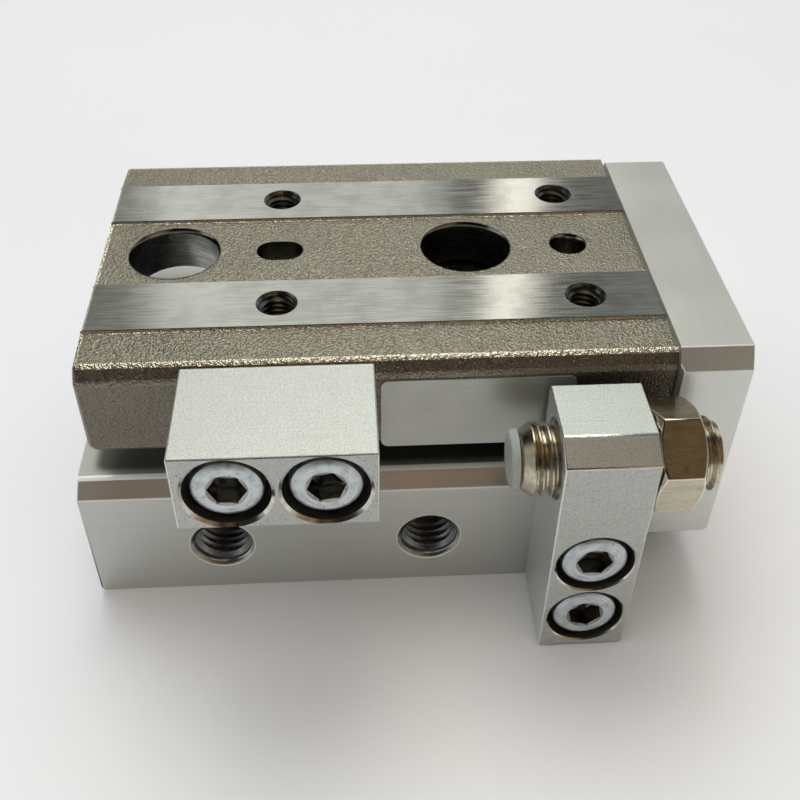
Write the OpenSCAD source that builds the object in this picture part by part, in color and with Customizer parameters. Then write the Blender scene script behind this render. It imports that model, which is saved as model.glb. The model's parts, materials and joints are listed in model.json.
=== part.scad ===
// Compact pneumatic slide table: twin-bore body, recirculating-ball guide,
// moving table with end plate and stopper block, and one end-of-stroke adjuster.
// Units: millimetres. X = direction of extension, Y = across, Z = up.
// Origin: body's bottom face, on the centre line, half-way along the closed unit.

/* [Body] */
// Body length
body_l = 49.6; // [46:0.1:49.6]
// Body width
body_w = 35.6; // [35.6:0.1:38]
// Body height at the side ledges
body_h = 13.0; // [13:0.1:13.4]
// Width of the chamfer along the ledges
ledge_chamfer_w = 1.7; // [0.4:0.1:2]
// Height of the chamfer along the ledges
ledge_chamfer_h = 1.1; // [0.4:0.1:2]
// Cylinder bore
bore_d = 8.0; // [7.6:0.1:8]
// Distance between the two cylinder bores
bore_pitch = 16.4; // [16.2:0.1:17]
// Height of the bore axes
bore_z = 7.2; // [7:0.1:7.4]
// Depth of the locating seat under the guide block
seat_depth = 0.5; // [0.3:0.1:0.8]

/* [Ports] */
// Nominal thread diameter of the air ports
port_d = 5.0; // [4:0.5:5]
// Depth of the port thread
port_depth = 4.2; // [3.6:0.1:4.4]
// Diameter of the countersink at the port mouth
port_mouth_d = 5.7; // [5.5:0.1:6.4]
// Height of the port axes
port_z = 5.7; // [5.2:0.1:6.2]
// Diameter of the air passage that joins both bores
duct_d = 1.6; // [1:0.1:2]

/* [Table] */
// Table length
table_l = 48.2; // [46:0.1:48.2]
// Table width
table_w = 33.4; // [32.6:0.1:34]
// Height of the two ground strips above the base
strip_z = 25.3; // [25.2:0.1:26]
// Height of the ground strips over the cast surface
strip_h = 0.3; // [0.1:0.1:0.6]
// Height of the table's lower edge
table_low_z = 16.7; // [16.4:0.1:17]
// Width of the chamfer along the table's shoulders
table_edge_w = 1.0; // [0.6:0.1:1.4]
// Height of the chamfer along the table's shoulders
table_edge_h = 1.1; // [0.6:0.1:1.4]
// Diameter of the access holes
access_d = 7.8; // [6.6:0.1:8]
// Diameter of the locating pin hole and width of the pin slot
locating_d = 3.0; // [2.5:0.1:3]
// Length of the locating pin slot
slot_l = 4.2; // [3.6:0.1:4.6]
// Nominal diameter of the tapped holes on top
tapped_d = 3.0; // [2:0.5:3]
// Hole spacing along the table
hole_pitch_x = 26.2; // [25:0.1:26.4]
// Hole spacing across the table
hole_pitch_y = 16.8; // [16:0.1:17.2]

/* [End plate] */
// End plate thickness
plate_t = 6.0; // [5.6:0.1:6.4]
// Height of the end plate's lower edge
plate_low_z = 4.6; // [4.2:0.1:4.8]
// Height of the end plate's upper edge
plate_top_z = 25.6; // [25.3:0.1:26]
// Width of the upper chamfers
plate_chamfer_w = 1.1; // [0.4:0.1:1.6]
// Height of the upper chamfers
plate_chamfer_h = 1.8; // [0.4:0.1:2.4]

/* [Stopper block] */
// Length of the block along the table
stopper_l = 15.2; // [14.6:0.1:15.4]
// How far the block stands out from the table
stopper_w = 10.2; // [9:0.1:10.6]
// Height of the block's lower face
stopper_low_z = 18.2; // [17.8:0.1:18.4]
// Height of the block's upper face
stopper_top_z = 25.3; // [25:0.1:25.4]

/* [Stroke adjuster] */
// Thickness of the adjuster block along X
adjuster_l = 7.4; // [7:0.1:7.8]
// How far the adjuster block stands out from the body
adjuster_w = 8.2; // [7.8:0.1:8.6]
// Height of the adjuster block's lower face
adjuster_low_z = 0.3; // [0.2:0.1:0.6]
// Height of the adjuster block's upper face
adjuster_top_z = 23.4; // [23.2:0.1:24]
// Nominal thread diameter of the adjuster bolt
bolt_d = 6.0; // [5:0.5:6]
// Length of the adjuster bolt
bolt_l = 15.7; // [14.5:0.1:17]
// Diameter of the bumper at the bolt's tip
bumper_d = 5.0; // [4.2:0.1:5.2]
// Lock nut size across its flats
nut_af = 8.0; // [7.6:0.1:8]
// Lock nut thickness
nut_t = 3.6; // [3:0.1:4]

/* [Ball guide] */
// Diameter of the guide balls
ball_d = 2.381; // [2:0.001:2.4]
// Least gap between neighbouring balls
ball_gap = 0.03; // [0.02:0.01:0.5]
// Overall length of the guide block without its end caps
guide_l = 29.6; // [28:0.1:30]
// Thickness of each ball return cap
cap_t = 3.5; // [3.3:0.1:3.6]

/* [Hidden] */
$fn = 48;
eps = 0.01;
fit = 0.04;
thread_gap = 0.05;

// Closed unit, end to end
unit_l = 56.0;
body_x0 = -unit_l / 2;
body_x1 = body_x0 + body_l;
plate_x1 = unit_l / 2;
plate_x0 = plate_x1 - plate_t;
table_x1 = plate_x0;
table_x0 = table_x1 - table_l;
plate_y0 = -17.3;
plate_y1 = 14.9;
plate_screw_y = [(plate_y0 + plate_y1) / 2 - 13.3, (plate_y0 + plate_y1) / 2 + 13.3];
plate_screw_z = 21.8;

// Positions shared by the table and what lies under it
access_x = [-19.8, 6.4];
tapped_x = [-10.4, -10.4 + hole_pitch_x];
tapped_y = [-hole_pitch_y / 2, hole_pitch_y / 2];
strip_y = [5.1, 11.5];
table_skin_z = strip_z - strip_h;
channel_y = 10.6;
channel_z = 21.0;

// Cylinders
bore_y = [-bore_pitch / 2, bore_pitch / 2];
bore_x0 = -18.0;
port_x = [-16.3, 2.2];
piston_x0 = -15.4;
piston_l = 6.4;
rod_d = 4.0;
neck_d = 2.6;
gland_x0 = 4.4;
gland_x1 = 20.3;
gland_d = bore_d - 0.1;
ring_x1 = gland_x1 + 0.6;
rod_shoulder_x = plate_x0 + 0.6;
rod_end_x = plate_x0 + 3.4;

// Guide
guide_x0 = -12.5;
guide_x1 = guide_x0 + guide_l;
guide_y = 9.7;
guide_z0 = body_h - seat_depth;
guide_z1 = 20.6;
ball_y = 10.15;
ball_z = 18.8;
return_y = 6.4;
track_r = ball_d / 2 + 0.06;
turn_r = (ball_y - return_y) / 2;
turn_y = (ball_y + return_y) / 2;
guide_screw_x = [-9.4, -1.4, 13.4];
wiper_t = 0.7;

// Stopper block and label
stopper_x1 = -2.5;
stopper_x0 = stopper_x1 - stopper_l;
stopper_screw_x = [-13.7, -6.4];
stopper_screw_z = 21.65;
label_x = [-2.0, 13.8];
label_z = [16.3, 23.4];
label_t = 0.12;
end_r = 0.6;

// Stroke adjuster
adjuster_x0 = 11.4;
adjuster_x1 = adjuster_x0 + adjuster_l;
adjuster_y0 = -body_w / 2 - adjuster_w;
adjuster_screw_x = adjuster_x0 + adjuster_l / 2;
adjuster_screw_z = [4.05, 10.9];
bolt_y = -22.0;
bolt_z = 19.4;
bumper_x0 = 7.8;
bolt_x0 = bumper_x0 + 0.7;
nut_x0 = adjuster_x1 + 0.05;
nut_turn = 10.4;

// Metric socket-head cap screws: [thread, head diameter, head height, hexagon]
m3 = [3.0, 5.5, 3.0, 2.5];
m25 = [2.5, 4.5, 2.5, 2.0];
m2 = [2.0, 3.8, 2.0, 1.5];

// ---------------------------------------------------------------- helpers

// Cylinder along +X from x0 to x1, its axis through (y, z)
module rod_x(x0, x1, r, y = 0, z = 0) {
    translate([x0, y, z])
        rotate([0, 90, 0])
            cylinder(h = x1 - x0, r = r);
}

// Cylinder along +Y from y0 to y1, its axis through (x, z)
module rod_y(y0, y1, r, x = 0, z = 0) {
    translate([x, y0, z])
        rotate([-90, 0, 0])
            cylinder(h = y1 - y0, r = r);
}

// Cylinder along +Z from z0 to z1, its axis through (x, y)
module rod_z(z0, z1, r, x = 0, y = 0) {
    translate([x, y, z0])
        cylinder(h = z1 - z0, r = r);
}

// Tube along +X
module tube_x(x0, x1, r_out, r_in, y = 0, z = 0) {
    translate([x0, y, z])
        rotate([0, 90, 0])
            rotate_extrude()
                translate([r_in, 0])
                    square([r_out - r_in, x1 - x0]);
}

// Box between two corners
module box(low, high) {
    translate(low)
        cube(high - low);
}

// Profile in the Y-Z plane, carried along +X from x0 to x1
module along_x(x0, x1) {
    translate([x0, 0, 0])
        rotate([90, 0, 90])
            linear_extrude(height = x1 - x0)
                children();
}

// Edge cutter: the corner bar left outside a round edge of radius r
module round_edge_cut(length, r) {
    difference() {
        translate([-eps, -eps, -eps])
            cube([r + eps, r + eps, length + 2 * eps]);
        translate([r, r, -2 * eps])
            cylinder(h = length + 4 * eps, r = r);
    }
}

// Turned cutter for a hole mouth, pointing along +Z, wide end at z = 0
module mouth_cut(r_hole, r_mouth) {
    depth = r_mouth - r_hole;
    translate([0, 0, -depth])
        cylinder(h = depth + eps, r1 = r_hole, r2 = r_mouth + eps);
}

// Socket-head cap screw: head's top face at the origin, shank along -Z
module cap_screw(size, length) {
    thread = size[0];
    head_r = size[1] / 2;
    head_h = size[2];
    hex_r = size[3] / sqrt(3);
    edge = 0.25;
    difference() {
        rotate_extrude()
            polygon([
                [0, -head_h - length],
                [thread / 2 - 0.3, -head_h - length],
                [thread / 2, -head_h - length + 0.3],
                [thread / 2, -head_h],
                [head_r, -head_h],
                [head_r, -edge],
                [head_r - edge, 0],
                [0, 0]
            ]);
        translate([0, 0, -head_h * 0.55])
            cylinder(h = head_h, r = hex_r, $fn = 6);
    }
}

// Cap screw driven along +Y into the front side, head's top face at y
module front_screw(size, length, x, y, z) {
    translate([x, y, z])
        rotate([90, 0, 0])
            cap_screw(size, length);
}

// Cap screw driven along -X into the end, head's top face at x
module end_screw(size, length, x, y, z) {
    translate([x, y, z])
        rotate([0, 90, 0])
            cap_screw(size, length);
}

// ---------------------------------------------------------------- body

// Outer section of the body with its ledge chamfers
module body_section() {
    half = body_w / 2;
    top = body_h;
    foot = 0.12;
    polygon([
        [-half + foot, 0],
        [half - foot, 0],
        [half, foot],
        [half, top - ledge_chamfer_h],
        [half - ledge_chamfer_w, top],
        [-half + ledge_chamfer_w, top],
        [-half, top - ledge_chamfer_h],
        [-half, foot]
    ]);
}

// One air port in the front side with the passage that crosses both bores
module port_cut(x) {
    face = -body_w / 2;
    rod_y(face - eps, face + port_depth, port_d / 2, x, port_z);
    translate([x, face, port_z])
        rotate([90, 0, 0])
            mouth_cut(port_d / 2, port_mouth_d / 2);
    rod_y(face + port_depth - eps, bore_y[1], duct_d / 2, x, port_z);
}

// One bore, open at the extension end, with its retaining ring groove
module bore_cut(y) {
    rod_x(bore_x0, body_x1 + eps, bore_d / 2, y, bore_z);
    rod_x(gland_x1, ring_x1 + 0.05, bore_d / 2 + 0.6, y, bore_z);
    translate([body_x1, y, bore_z])
        rotate([0, 90, 0])
            mouth_cut(bore_d / 2, bore_d / 2 + 0.3);
}

// Mounting hole: clearance and head seat from above, thread from below
module mounting_hole_cut(x) {
    rod_z(-eps, 6.0, 2.0, x);
    rod_z(5.9, body_h, 1.7, x);
    rod_z(8.6, body_h + eps, 3.05, x);
    translate([x, 0, 0])
        rotate([180, 0, 0])
            mouth_cut(2.0, 2.25);
}

// Groove for a position switch along the far side
module switch_groove_cut() {
    face = body_w / 2;
    centre = face - 2.4;
    rod_x(body_x0 - eps, body_x1 + eps, 2.0, centre, 6.4);
    box([body_x0 - eps, centre, 5.1], [body_x1 + eps, face + eps, 7.7]);
}

module body() {
    color([0.78, 0.79, 0.78])
        difference() {
            along_x(body_x0, body_x1)
                body_section();
            for (y = bore_y)
                bore_cut(y);
            for (x = port_x)
                port_cut(x);
            for (x = access_x)
                mounting_hole_cut(x);
            for (x = guide_screw_x)
                rod_z(guide_z0 - 5.2, body_h, m25[0] / 2 + thread_gap, x);
            for (z = adjuster_screw_z)
                rod_y(-body_w / 2 - eps, -13.0, m3[0] / 2 + thread_gap, adjuster_screw_x, z);
            box([guide_x0 - cap_t - 1.2, -guide_y - fit, guide_z0],
                [body_x1 + eps, guide_y + fit, body_h + 1]);
            rod_x(body_x1 - 2.0, body_x1 + eps, 2.0, 0, 8.8);
            translate([body_x0, body_w / 2 + 1, 0])
                rotate([90, 0, 0])
                    round_edge_cut(body_w + 2, end_r);
            switch_groove_cut();
        }
}

// Damper disc that meets the end plate when the table is drawn in
module retract_bumper() {
    color([0.16, 0.16, 0.17])
        rod_x(body_x1 - 1.9, plate_x0 - 0.05, 1.95, 0, 8.8);
}

// ---------------------------------------------------------------- cylinders

module rod_gland(y) {
    color([0.70, 0.71, 0.72])
        difference() {
            rod_x(gland_x0, gland_x1, gland_d / 2, y, bore_z);
            rod_x(gland_x0 - eps, gland_x1 + eps, rod_d / 2 + 0.03, y, bore_z);
            rod_x(gland_x0 - eps, gland_x0 + 2.4, 3.2, y, bore_z);
            tube_x(12.2, 13.4, gland_d / 2 + 0.5, gland_d / 2 - 1.0, y, bore_z);
        }
}

module rod_gland_near() {
    rod_gland(bore_y[0]);
}

module rod_gland_far() {
    rod_gland(bore_y[1]);
}

module gland_o_rings() {
    color([0.10, 0.10, 0.11])
        for (y = bore_y)
            translate([12.8, y, bore_z])
                rotate([0, 90, 0])
                    rotate_extrude()
                        translate([bore_d / 2 - 0.54, 0])
                            circle(r = 0.5, $fn = 16);
}

// Cup seal around the rod, its lips towards the pressure side
module rod_seal(y) {
    translate([gland_x0 + 0.2, y, bore_z])
        rotate([0, 90, 0])
            rotate_extrude()
                polygon([
                    [2.03, 0], [2.35, 0], [2.6, 0.9], [2.85, 0], [3.16, 0],
                    [3.16, 2.1], [2.03, 2.1]
                ]);
}

module rod_seals() {
    color([0.12, 0.13, 0.14])
        for (y = bore_y)
            rod_seal(y);
}

// Rubber ring that cushions the piston at the gland
module cushion_rings() {
    color([0.20, 0.20, 0.21])
        for (y = bore_y)
            tube_x(3.3, gland_x0 - 0.02, 3.8, 2.2, y, bore_z);
}

// Internal retaining ring with its assembly gap at the bottom
module retaining_ring(y) {
    difference() {
        tube_x(gland_x1 + 0.02, ring_x1, bore_d / 2 + 0.5, 3.1, y, bore_z);
        box([gland_x1 - 1, y - 1.1, bore_z - 6], [ring_x1 + 1, y + 1.1, bore_z]);
    }
}

module gland_retaining_rings() {
    color([0.32, 0.33, 0.35])
        for (y = bore_y)
            retaining_ring(y);
}

// Rod with a shoulder and neck for the floating joint at the end plate
module piston_rod(y) {
    color([0.80, 0.81, 0.83])
        difference() {
            union() {
                rod_x(piston_x0 + 0.6, rod_shoulder_x, rod_d / 2, y, bore_z);
                rod_x(rod_shoulder_x - eps, rod_end_x, neck_d / 2, y, bore_z);
            }
            rod_x(rod_end_x - 5.0, rod_end_x + eps, m2[0] / 2 + 0.03, y, bore_z);
        }
}

module piston_rod_near() {
    piston_rod(bore_y[0]);
}

module piston_rod_far() {
    piston_rod(bore_y[1]);
}

// Turned piston: seal groove behind, magnet groove in front, rod seat inside
module piston(y) {
    land = bore_d / 2 - 0.05;
    color([0.72, 0.70, 0.62])
        translate([piston_x0, y, bore_z])
            rotate([0, 90, 0])
                rotate_extrude()
                    polygon([
                        [0, 0], [land, 0], [land, 1.4], [2.7, 1.4], [2.7, 3.2],
                        [land, 3.2], [land, 3.8], [2.7, 3.8], [2.7, 5.4],
                        [land, 5.4], [land, piston_l], [rod_d / 2 + 0.02, piston_l],
                        [rod_d / 2 + 0.02, 0.58], [0, 0.58]
                    ]);
}

module piston_near() {
    piston(bore_y[0]);
}

module piston_far() {
    piston(bore_y[1]);
}

module piston_seals() {
    color([0.12, 0.12, 0.13])
        for (y = bore_y)
            tube_x(piston_x0 + 1.5, piston_x0 + 3.1, bore_d / 2 - 0.02, 2.74, y, bore_z);
}

module piston_magnets() {
    color([0.30, 0.30, 0.32])
        for (y = bore_y)
            tube_x(piston_x0 + 3.9, piston_x0 + 5.3, bore_d / 2 - 0.1, 2.74, y, bore_z);
}

// ---------------------------------------------------------------- ball guide

// Section of the guide block with a ball track down each flank
module guide_section() {
    relief = 0.6;
    difference() {
        polygon([
            [-guide_y, guide_z0], [guide_y, guide_z0],
            [guide_y, guide_z1 - relief], [guide_y - relief, guide_z1],
            [-guide_y + relief, guide_z1], [-guide_y, guide_z1 - relief]
        ]);
        for (side = [-1, 1])
            translate([side * ball_y, ball_z])
                circle(r = track_r);
    }
}

module guide_block() {
    color([0.62, 0.64, 0.66])
        difference() {
            along_x(guide_x0, guide_x1)
                guide_section();
            for (side = [-1, 1])
                rod_x(guide_x0 - eps, guide_x1 + eps, track_r, side * return_y, ball_z);
            rod_z(guide_z0 - eps, guide_z1 + eps, 3.3, access_x[1]);
            for (x = guide_screw_x) {
                rod_z(guide_z0 - eps, guide_z1 + eps, m25[0] / 2 + 0.15, x);
                rod_z(guide_z1 - 2.8, guide_z1 + eps, m25[1] / 2 + 0.15, x);
            }
            for (x = [guide_x0 - eps, guide_x1 - 4.0])
                for (side = [-1, 1])
                    rod_x(x, x + 4.0 + eps, m2[0] / 2 + thread_gap, side * 3.0, 15.6);
        }
}

module guide_block_screws() {
    color([0.75, 0.77, 0.80])
        for (x = guide_screw_x)
            translate([x, 0, guide_z1 - 0.25])
                cap_screw(m25, 9.6);
}

// Ball return cap drawn with its joint face at x = 0 and its nose along +X
module return_cap() {
    nose = 0.5;
    difference() {
        along_x(0, cap_t)
            guide_section();
        for (side = [-1, 1])
            translate([0, side * turn_y, ball_z])
                rotate([0, 0, -90])
                    rotate_extrude(angle = 180)
                        translate([turn_r, 0])
                            circle(r = track_r);
        for (side = [-1, 1])
            rod_x(-eps, cap_t + eps, m2[0] / 2 + 0.1, side * 3.0, 15.6);
        translate([cap_t, 0, guide_z1])
            rotate([0, 45, 0])
                cube([nose, 2 * guide_y + 1, nose], center = true);
    }
}

module return_cap_front() {
    color([0.20, 0.42, 0.32])
        translate([guide_x1 + 0.02, 0, 0])
            return_cap();
}

module return_cap_rear() {
    color([0.20, 0.42, 0.32])
        translate([guide_x0 - 0.02, 0, 0])
            mirror([1, 0, 0])
                return_cap();
}

// Thin rubber wiper that fills the channel, its back face at x = 0
module wiper() {
    gap = 0.12;
    difference() {
        along_x(0, wiper_t)
            difference() {
                union() {
                    polygon([
                        [-channel_y + gap, table_low_z], [channel_y - gap, table_low_z],
                        [channel_y - gap, channel_z - gap], [-channel_y + gap, channel_z - gap]
                    ]);
                    polygon([
                        [-guide_y, guide_z0 + 0.2], [guide_y, guide_z0 + 0.2],
                        [guide_y, table_low_z + 0.1], [-guide_y, table_low_z + 0.1]
                    ]);
                    for (side = [-1, 1])
                        translate([side * ball_y, ball_z])
                            circle(r = track_r - gap + 0.05);
                }
                for (side = [-1, 1])
                    translate([side * 3.0, 15.6])
                        circle(r = m2[0] / 2 + 0.1);
            }
    }
}

module wiper_front() {
    color([0.11, 0.11, 0.12])
        translate([guide_x1 + cap_t + 0.04, 0, 0])
            wiper();
}

module wiper_rear() {
    color([0.11, 0.11, 0.12])
        translate([guide_x0 - cap_t - 0.04, 0, 0])
            mirror([1, 0, 0])
                wiper();
}

// Pan-head screw: head's seat at x = 0, head along +X, shank along -X
module pan_screw(length) {
    difference() {
        union() {
            rod_x(-length, eps, m2[0] / 2);
            rod_x(0, 0.55, 1.6);
        }
        rod_x(0.2, 1, 0.5);
    }
}

module return_cap_screws() {
    seat = cap_t + wiper_t + 0.06;
    color([0.72, 0.74, 0.77])
        for (side = [-1, 1]) {
            translate([guide_x1 + seat, side * 3.0, 15.6])
                pan_screw(7.0);
            translate([guide_x0 - seat, side * 3.0, 15.6])
                mirror([1, 0, 0])
                    pan_screw(7.0);
        }
}

// Length of one closed ball circuit: loaded row, return row and two half turns
function circuit_length() = 2 * guide_l + 2 * PI * turn_r;

// Most balls that fit, with the gap kept across the chord of the half turns
function ball_count() =
    floor(circuit_length() / (2 * turn_r * asin((ball_d + ball_gap) / (2 * turn_r)) * PI / 180));

// Position [x, y] at the distance s along the circuit, from the loaded row's rear end
function circuit_point(s) =
    let (
        turn = PI * turn_r,
        front = s - guide_l,
        back = s - guide_l - turn,
        rear = s - 2 * guide_l - turn,
        front_angle = 90 - front / turn_r * 180 / PI,
        rear_angle = 270 - rear / turn_r * 180 / PI
    )
    s < guide_l ? [guide_x0 + s, ball_y]
    : front < turn ? [guide_x1 + turn_r * cos(front_angle), turn_y + turn_r * sin(front_angle)]
    : back < guide_l ? [guide_x1 - back, return_y]
    : [guide_x0 + turn_r * cos(rear_angle), turn_y + turn_r * sin(rear_angle)];

// All balls of the circuit on one side: -1 near, 1 far
module ball_circuit(side) {
    count = ball_count();
    step = circuit_length() / count;
    color([0.85, 0.86, 0.88])
        for (i = [0 : count - 1]) {
            point = circuit_point((i + 0.5) * step);
            translate([point[0], side * point[1], ball_z])
                sphere(d = ball_d, $fn = 16);
        }
}

module balls_near() {
    ball_circuit(-1);
}

module balls_far() {
    ball_circuit(1);
}

// ---------------------------------------------------------------- table

// Table section: chamfered shoulders, two raised strips, guide channel, ball tracks
module table_section() {
    half = table_w / 2;
    difference() {
        union() {
            polygon([
                [-half, table_low_z], [half, table_low_z],
                [half, table_skin_z - table_edge_h], [half - table_edge_w, table_skin_z],
                [-half + table_edge_w, table_skin_z], [-half, table_skin_z - table_edge_h]
            ]);
            for (side = [-1, 1])
                translate([side * (strip_y[0] + strip_y[1]) / 2, strip_z - 0.5])
                    square([strip_y[1] - strip_y[0], 1], center = true);
        }
        translate([-channel_y, table_low_z - 1])
            square([2 * channel_y, channel_z - table_low_z + 1]);
        for (side = [-1, 1])
            translate([side * ball_y, ball_z])
                circle(r = track_r);
    }
}

// Straight-sided slot with round ends, cut down from the surface
module pin_slot_cut(x, depth) {
    reach = (slot_l - locating_d) / 2;
    for (end = [-1, 1])
        rod_z(table_skin_z - depth, table_skin_z + eps, locating_d / 2, x + end * reach);
    box([x - reach, -locating_d / 2, table_skin_z - depth],
        [x + reach, locating_d / 2, table_skin_z + eps]);
}

// Thin plate in the X-Z plane with rounded corners
module rounded_plate(x0, x1, z0, z1, y0, y1) {
    r = 0.6;
    for (x = [x0 + r, x1 - r])
        for (z = [z0 + r, z1 - r])
            rod_y(y0, y1, r, x, z);
    box([x0 + r, y0, z0], [x1 - r, y1, z1]);
    box([x0, y0, z0 + r], [x1, y1, z1 - r]);
}

module table() {
    face = -table_w / 2;
    color([0.56, 0.54, 0.49])
        difference() {
            along_x(table_x0, table_x1)
                table_section();
            for (x = access_x) {
                rod_z(channel_z - 1, strip_z + 1, access_d / 2, x);
                translate([x, 0, table_skin_z])
                    mouth_cut(access_d / 2, access_d / 2 + 0.15);
            }
            for (x = tapped_x)
                for (y = tapped_y) {
                    rod_z(strip_z - 3.8, strip_z + eps, tapped_d / 2, x, y);
                    translate([x, y, strip_z])
                        mouth_cut(tapped_d / 2, tapped_d / 2 + 0.27);
                }
            rod_z(table_skin_z - 3.5, table_skin_z + eps, locating_d / 2, tapped_x[1]);
            translate([tapped_x[1], 0, table_skin_z])
                mouth_cut(locating_d / 2, locating_d / 2 + 0.15);
            pin_slot_cut(tapped_x[0], 3.5);
            for (x = stopper_screw_x)
                rod_y(face - eps, face + 5.4, m3[0] / 2 + thread_gap, x, stopper_screw_z);
            for (y = plate_screw_y)
                rod_x(table_x1 - 3.5, table_x1 + eps, m25[0] / 2 + thread_gap, y, plate_screw_z);
            translate([table_x0, table_w / 2 + 1, table_low_z])
                rotate([90, 0, 0])
                    round_edge_cut(table_w + 2, 0.9);
        }
}

module label() {
    face = -table_w / 2;
    color([0.74, 0.75, 0.74])
        rounded_plate(label_x[0], label_x[1], label_z[0], label_z[1],
            face - label_t - 0.01, face - 0.01);
}

// ---------------------------------------------------------------- end plate

module end_plate_section() {
    polygon([
        [plate_y0, plate_low_z], [plate_y1, plate_low_z],
        [plate_y1, plate_top_z - plate_chamfer_h], [plate_y1 - plate_chamfer_w, plate_top_z],
        [plate_y0 + plate_chamfer_w, plate_top_z], [plate_y0, plate_top_z - plate_chamfer_h]
    ]);
}

module end_plate() {
    seat = plate_x1 - m25[2] - 0.3;
    color([0.77, 0.78, 0.77])
        difference() {
            along_x(plate_x0, plate_x1)
                end_plate_section();
            for (y = plate_screw_y) {
                rod_x(plate_x0 - eps, plate_x1 + eps, m25[0] / 2 + 0.15, y, plate_screw_z);
                rod_x(seat, plate_x1 + eps, m25[1] / 2 + 0.2, y, plate_screw_z);
            }
            for (y = bore_y) {
                rod_x(plate_x0 - eps, plate_x1 + eps, neck_d / 2 + 0.15, y, bore_z);
                rod_x(plate_x0 - eps, rod_shoulder_x + 0.02, rod_d / 2 + 0.2, y, bore_z);
                rod_x(plate_x0 + 2.6, plate_x1 + eps, 2.15, y, bore_z);
            }
            translate([plate_x0, plate_y0, (plate_low_z + plate_top_z) / 2])
                rotate([0, 0, 45])
                    cube([0.5, 0.5, 30], center = true);
            translate([plate_x1, plate_y0 - 1, plate_low_z])
                rotate([90, 0, 180])
                    round_edge_cut(plate_y1 - plate_y0 + 2, end_r);
        }
}

module end_plate_screws() {
    color([0.72, 0.74, 0.77])
        for (y = plate_screw_y)
            end_screw(m25, 6.0, plate_x1 - 0.28, y, plate_screw_z);
}

// Hardened washer that lets each rod float sideways in the end plate
module rod_end_washers() {
    color([0.66, 0.67, 0.69])
        for (y = bore_y)
            tube_x(plate_x0 + 2.62, rod_end_x - 0.02, 2.05, neck_d / 2 + 0.04, y, bore_z);
}

module rod_end_screws() {
    color([0.72, 0.74, 0.77])
        for (y = bore_y)
            end_screw(m2, 4.2, rod_end_x + 0.02 + m2[2], y, bore_z);
}

// ---------------------------------------------------------------- stopper block

module stopper_block() {
    face = -table_w / 2 - 0.02;
    front = face - stopper_w;
    color([0.80, 0.82, 0.81])
        difference() {
            box([stopper_x0, front, stopper_low_z], [stopper_x1, face, stopper_top_z]);
            for (x = stopper_screw_x) {
                rod_y(front - eps, front + 3.4, 3.3, x, stopper_screw_z);
                rod_y(front, face + eps, m3[0] / 2 + 0.15, x, stopper_screw_z);
            }
        }
}

module stopper_block_screws() {
    front = -table_w / 2 - 0.02 - stopper_w;
    color([0.72, 0.76, 0.80])
        for (x = stopper_screw_x)
            front_screw(m3, 11.2, x, front + 0.38, stopper_screw_z);
}

// ---------------------------------------------------------------- stroke adjuster

// Section of the adjuster block in the Y-Z plane
module adjuster_section() {
    back = -body_w / 2 - 0.02;
    polygon([
        [adjuster_y0, adjuster_low_z], [back, adjuster_low_z],
        [back, adjuster_top_z], [adjuster_y0 + 2.2, adjuster_top_z],
        [adjuster_y0, adjuster_top_z - 1.35]
    ]);
}

module adjuster_block() {
    color([0.76, 0.77, 0.77])
        difference() {
            along_x(adjuster_x0, adjuster_x1)
                adjuster_section();
            rod_x(adjuster_x0 - eps, adjuster_x1 + eps, bolt_d / 2 + thread_gap, bolt_y, bolt_z);
            for (x = [adjuster_x0, adjuster_x1])
                translate([x, bolt_y, bolt_z])
                    rotate([0, x == adjuster_x0 ? -90 : 90, 0])
                        mouth_cut(bolt_d / 2 + thread_gap, bolt_d / 2 + 0.35);
            for (z = adjuster_screw_z) {
                rod_y(adjuster_y0 - eps, adjuster_y0 + 3.2, 3.25, adjuster_screw_x, z);
                rod_y(adjuster_y0, -body_w / 2, m3[0] / 2 + 0.15, adjuster_screw_x, z);
            }
        }
}

module adjuster_block_screws() {
    color([0.72, 0.76, 0.80])
        for (z = adjuster_screw_z)
            front_screw(m3, 9.4, adjuster_screw_x, adjuster_y0 + 0.18, z);
}

// Turned bumper with a stem that sits in the bolt's tip
module adjuster_bumper() {
    r = bumper_d / 2;
    color([0.55, 0.60, 0.56])
        translate([bumper_x0, bolt_y, bolt_z])
            rotate([0, 90, 0])
                rotate_extrude()
                    polygon([
                        [0, 0], [r - 0.35, 0], [r, 0.5], [r, 0.65],
                        [1.3, 0.65], [1.3, 3.7], [0, 3.7]
                    ]);
}

// Bolt with chamfered ends, a socket for the bumper and a slot for a driver
module adjuster_bolt() {
    r = bolt_d / 2;
    end_x = bolt_x0 + bolt_l;
    color([0.74, 0.72, 0.64])
        difference() {
            translate([bolt_x0, bolt_y, bolt_z])
                rotate([0, 90, 0])
                    rotate_extrude()
                        polygon([
                            [1.35, 0], [r - 0.75, 0], [r, 0.95],
                            [r, bolt_l - 0.5], [r - 0.5, bolt_l],
                            [0, bolt_l], [0, 3.2], [1.35, 3.2]
                        ]);
            translate([end_x, bolt_y, bolt_z])
                rotate([0, 90, 0])
                    cylinder(h = 4.4, r = m3[3] / sqrt(3), center = true, $fn = 6);
        }
}

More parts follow.
